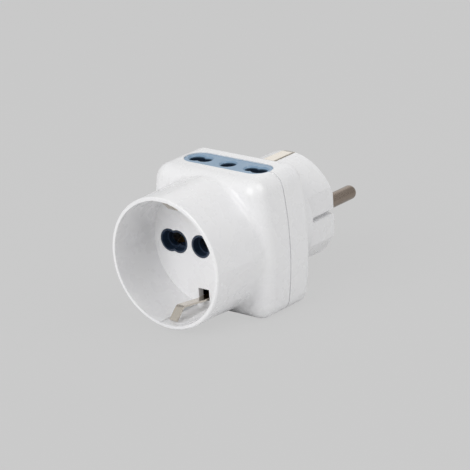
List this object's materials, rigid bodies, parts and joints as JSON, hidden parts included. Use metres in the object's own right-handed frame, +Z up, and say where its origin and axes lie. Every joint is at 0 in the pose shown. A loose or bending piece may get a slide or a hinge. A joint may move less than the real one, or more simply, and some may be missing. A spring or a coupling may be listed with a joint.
{
  "type": "three-outlet plug adapter",
  "caption": "Plug adapter with round earthed plug pins behind, a round recessed socket in front and double-pitch outlets above and below.",
  "frame": {"origin": "middle of the plug's end face, where it meets a wall socket", "axes": "+Y along the pins, out of the plug; +Z up, out of the top outlet; the front socket opens towards -Y; +X to the right seen from the front"},
  "size_m": [0.0478, 0.0856, 0.047],
  "materials": {
    "white_shell": "smooth moulded white plastic with a satin gloss",
    "dark_blue_insert": "dark slate-blue moulded plastic",
    "pale_blue_insert": "pale grey-blue moulded plastic",
    "plated_pin": "turned brass with nickel plating",
    "plated_spring": "bent nickel-plated spring strip",
    "contact_brass": "stamped and bent brass sheet",
    "grey_carrier": "plain moulded insulating plastic",
    "screw_steel": "zinc-plated steel screws"
  },
  "bodies": {
    "root": {"front_shell": "white_shell", "rear_shell": "white_shell", "front_outlet_insert": "dark_blue_insert", "top_outlet_insert": "pale_blue_insert", "bottom_outlet_insert": "pale_blue_insert", "line_pin": "plated_pin", "neutral_pin": "plated_pin", "socket_earth_bracket": "plated_spring", "plug_earth_strap": "plated_spring", "line_bus_bar": "contact_brass", "neutral_bus_bar": "contact_brass", "earth_bus_bar": "contact_brass", "line_pin_strap": "contact_brass", "neutral_pin_strap": "contact_brass", "earth_link": "contact_brass", "front_line_contact": "contact_brass", "front_neutral_contact": "contact_brass", "front_earth_contact": "contact_brass", "top_line_contact": "contact_brass", "top_neutral_contact": "contact_brass", "top_earth_contact": "contact_brass", "bottom_line_contact": "contact_brass", "bottom_neutral_contact": "contact_brass", "bottom_earth_contact": "contact_brass", "contact_rivets": "contact_brass", "contact_carrier": "grey_carrier", "housing_screws": "screw_steel"}
  },
  "joints": []
}
